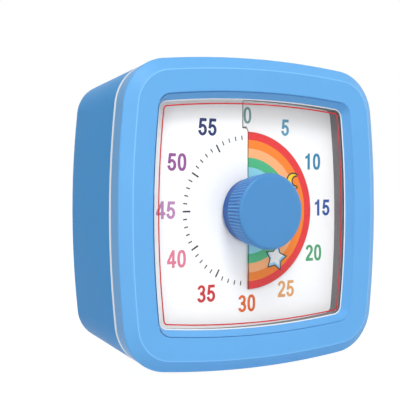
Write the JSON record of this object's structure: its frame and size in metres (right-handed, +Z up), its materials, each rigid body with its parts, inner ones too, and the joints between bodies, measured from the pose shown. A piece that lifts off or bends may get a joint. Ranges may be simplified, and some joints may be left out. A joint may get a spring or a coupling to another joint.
{
  "type": "visual countdown timer",
  "caption": "Rounded square desk countdown timer with a ribbed knob, a dial of an hour and a coloured disc that shows the time left.",
  "frame": {"origin": "on the ground under the middle of the timer, where the four feet's plane meets the vertical line through the centre of its box", "axes": "+Z up, the dial faces -Y, +X is to the right of a person who reads the dial; the dial's axis runs along Y"},
  "size_m": [0.0908, 0.0494, 0.0915],
  "materials": {
    "case_blue": "satin moulded ABS",
    "knob_blue": "satin moulded ABS",
    "trim_silver": "pale silver moulding",
    "clear_lens": "clear acrylic with a thin red printed line",
    "frame_white": "satin white moulding",
    "dial_white": "printed white dial",
    "disc_print": "printed film in rainbow bands",
    "hub_white": "natural acetal",
    "carrier_grey": "moulded ABS",
    "steel": "turned steel",
    "spring_steel": "hardened strip",
    "gear_acetal": "natural acetal",
    "magnet": "sintered magnet",
    "stator_steel": "pressed soft iron",
    "bobbin_black": "moulded nylon",
    "copper_wire": "enamelled copper",
    "movement_plastic": "moulded polystyrene",
    "contact_brass": "spring brass",
    "zinc_screw": "zinc plated",
    "cell_wrap": "plain two tone cell",
    "nickel": "nickel plated",
    "board_green": "glass epoxy with solder mask",
    "chip_black": "moulded epoxy",
    "crystal_can": "drawn can",
    "capacitor_sleeve": "sleeved can",
    "switch_metal": "pressed shell",
    "button_black": "moulded nylon",
    "sounder_black": "moulded ABS",
    "piezo_brass": "brass disc with ceramic",
    "foot_rubber": "moulded rubber",
    "wire_sleeve": "red and black insulation"
  },
  "bodies": {
    "casing": {"front_bezel": "case_blue", "trim_ring": "trim_silver", "rear_casing": "case_blue", "lens": "clear_lens", "inner_frame": "frame_white", "dial_plate": "dial_white", "dial_carrier": "carrier_grey", "stator": "stator_steel", "coil_core": "stator_steel", "coil_bobbin": "bobbin_black", "coil_winding": "copper_wire", "alarm_leaf": "contact_brass", "alarm_contact": "contact_brass", "movement_front_case": "movement_plastic", "movement_rear_case": "movement_plastic", "movement_screws": "zinc_screw", "carrier_screws": "zinc_screw", "casing_screws": "zinc_screw", "battery": "cell_wrap", "negative_spring": "nickel", "battery_contacts": "nickel", "circuit_board": "board_green", "timer_chip": "chip_black", "quartz_crystal": "crystal_can", "capacitor": "capacitor_sleeve", "board_screws": "zinc_screw", "slide_switch": "switch_metal", "sounder_housing": "sounder_black", "piezo_disc": "piezo_brass", "rubber_feet": "foot_rubber", "lead_wires": "wire_sleeve"},
    "knob": {"knob": "knob_blue", "output_arbor": "steel", "arbor_clip": "spring_steel", "clutch_spring": "spring_steel", "alarm_cam": "gear_acetal"},
    "disc": {"disc_hub": "hub_white", "time_disc": "disc_print"},
    "output_wheel": {"output_wheel": "gear_acetal"},
    "third_wheel": {"third_wheel": "gear_acetal"},
    "second_wheel": {"second_wheel": "gear_acetal"},
    "first_wheel": {"first_wheel": "gear_acetal"},
    "rotor": {"rotor_pinion": "gear_acetal", "rotor_magnet": "magnet"},
    "battery_cover": {"battery_cover": "case_blue"},
    "switch_button": {"switch_button": "button_black"}
  },
  "joints": [
    {"name": "knob_turn", "type": "hinge", "parent": "casing", "child": "knob", "pos_m": [0, -0.02035, 0.04685], "axis": [0, 1, 0], "range_deg": [-180, 180]},
    {"name": "disc_shift", "type": "slide", "parent": "knob", "child": "disc", "axis": [0, -1, 0], "range_m": [-0.00071, 0.00071]},
    {"name": "rotor_spin", "type": "hinge", "parent": "casing", "child": "rotor", "pos_m": [-0.00703, -0.02035, 0.07005], "axis": [0, 1, 0], "continuous": true},
    {"name": "first_wheel_spin", "type": "hinge", "parent": "casing", "child": "first_wheel", "pos_m": [-0.01116, -0.02035, 0.06291], "axis": [0, 1, 0], "continuous": true},
    {"name": "second_wheel_spin", "type": "hinge", "parent": "casing", "child": "second_wheel", "pos_m": [-0.00289, -0.02035, 0.06145], "axis": [0, 1, 0], "continuous": true},
    {"name": "third_wheel_spin", "type": "hinge", "parent": "casing", "child": "third_wheel", "pos_m": [0.0056, -0.02035, 0.05655], "axis": [0, 1, 0], "continuous": true},
    {"name": "output_wheel_spin", "type": "hinge", "parent": "casing", "child": "output_wheel", "pos_m": [0, -0.02035, 0.04685], "axis": [0, 1, 0], "continuous": true},
    {"name": "cover_lift", "type": "slide", "parent": "casing", "child": "battery_cover", "axis": [0, 1, 0], "range_m": [0, 0.03]},
    {"name": "switch_slide", "type": "slide", "parent": "casing", "child": "switch_button", "axis": [1, 0, 0], "range_m": [0, 0.004]}
  ],
  "couplings": [
    {"joint": "disc_shift", "follows": "knob_turn", "m_per_rad": 0.00022282},
    {"joint": "first_wheel_spin", "follows": "rotor_spin", "ratio": -0.1},
    {"joint": "second_wheel_spin", "follows": "rotor_spin", "ratio": 0.02},
    {"joint": "third_wheel_spin", "follows": "rotor_spin", "ratio": -0.0033333},
    {"joint": "output_wheel_spin", "follows": "rotor_spin", "ratio": 0.00055556}
  ]
}
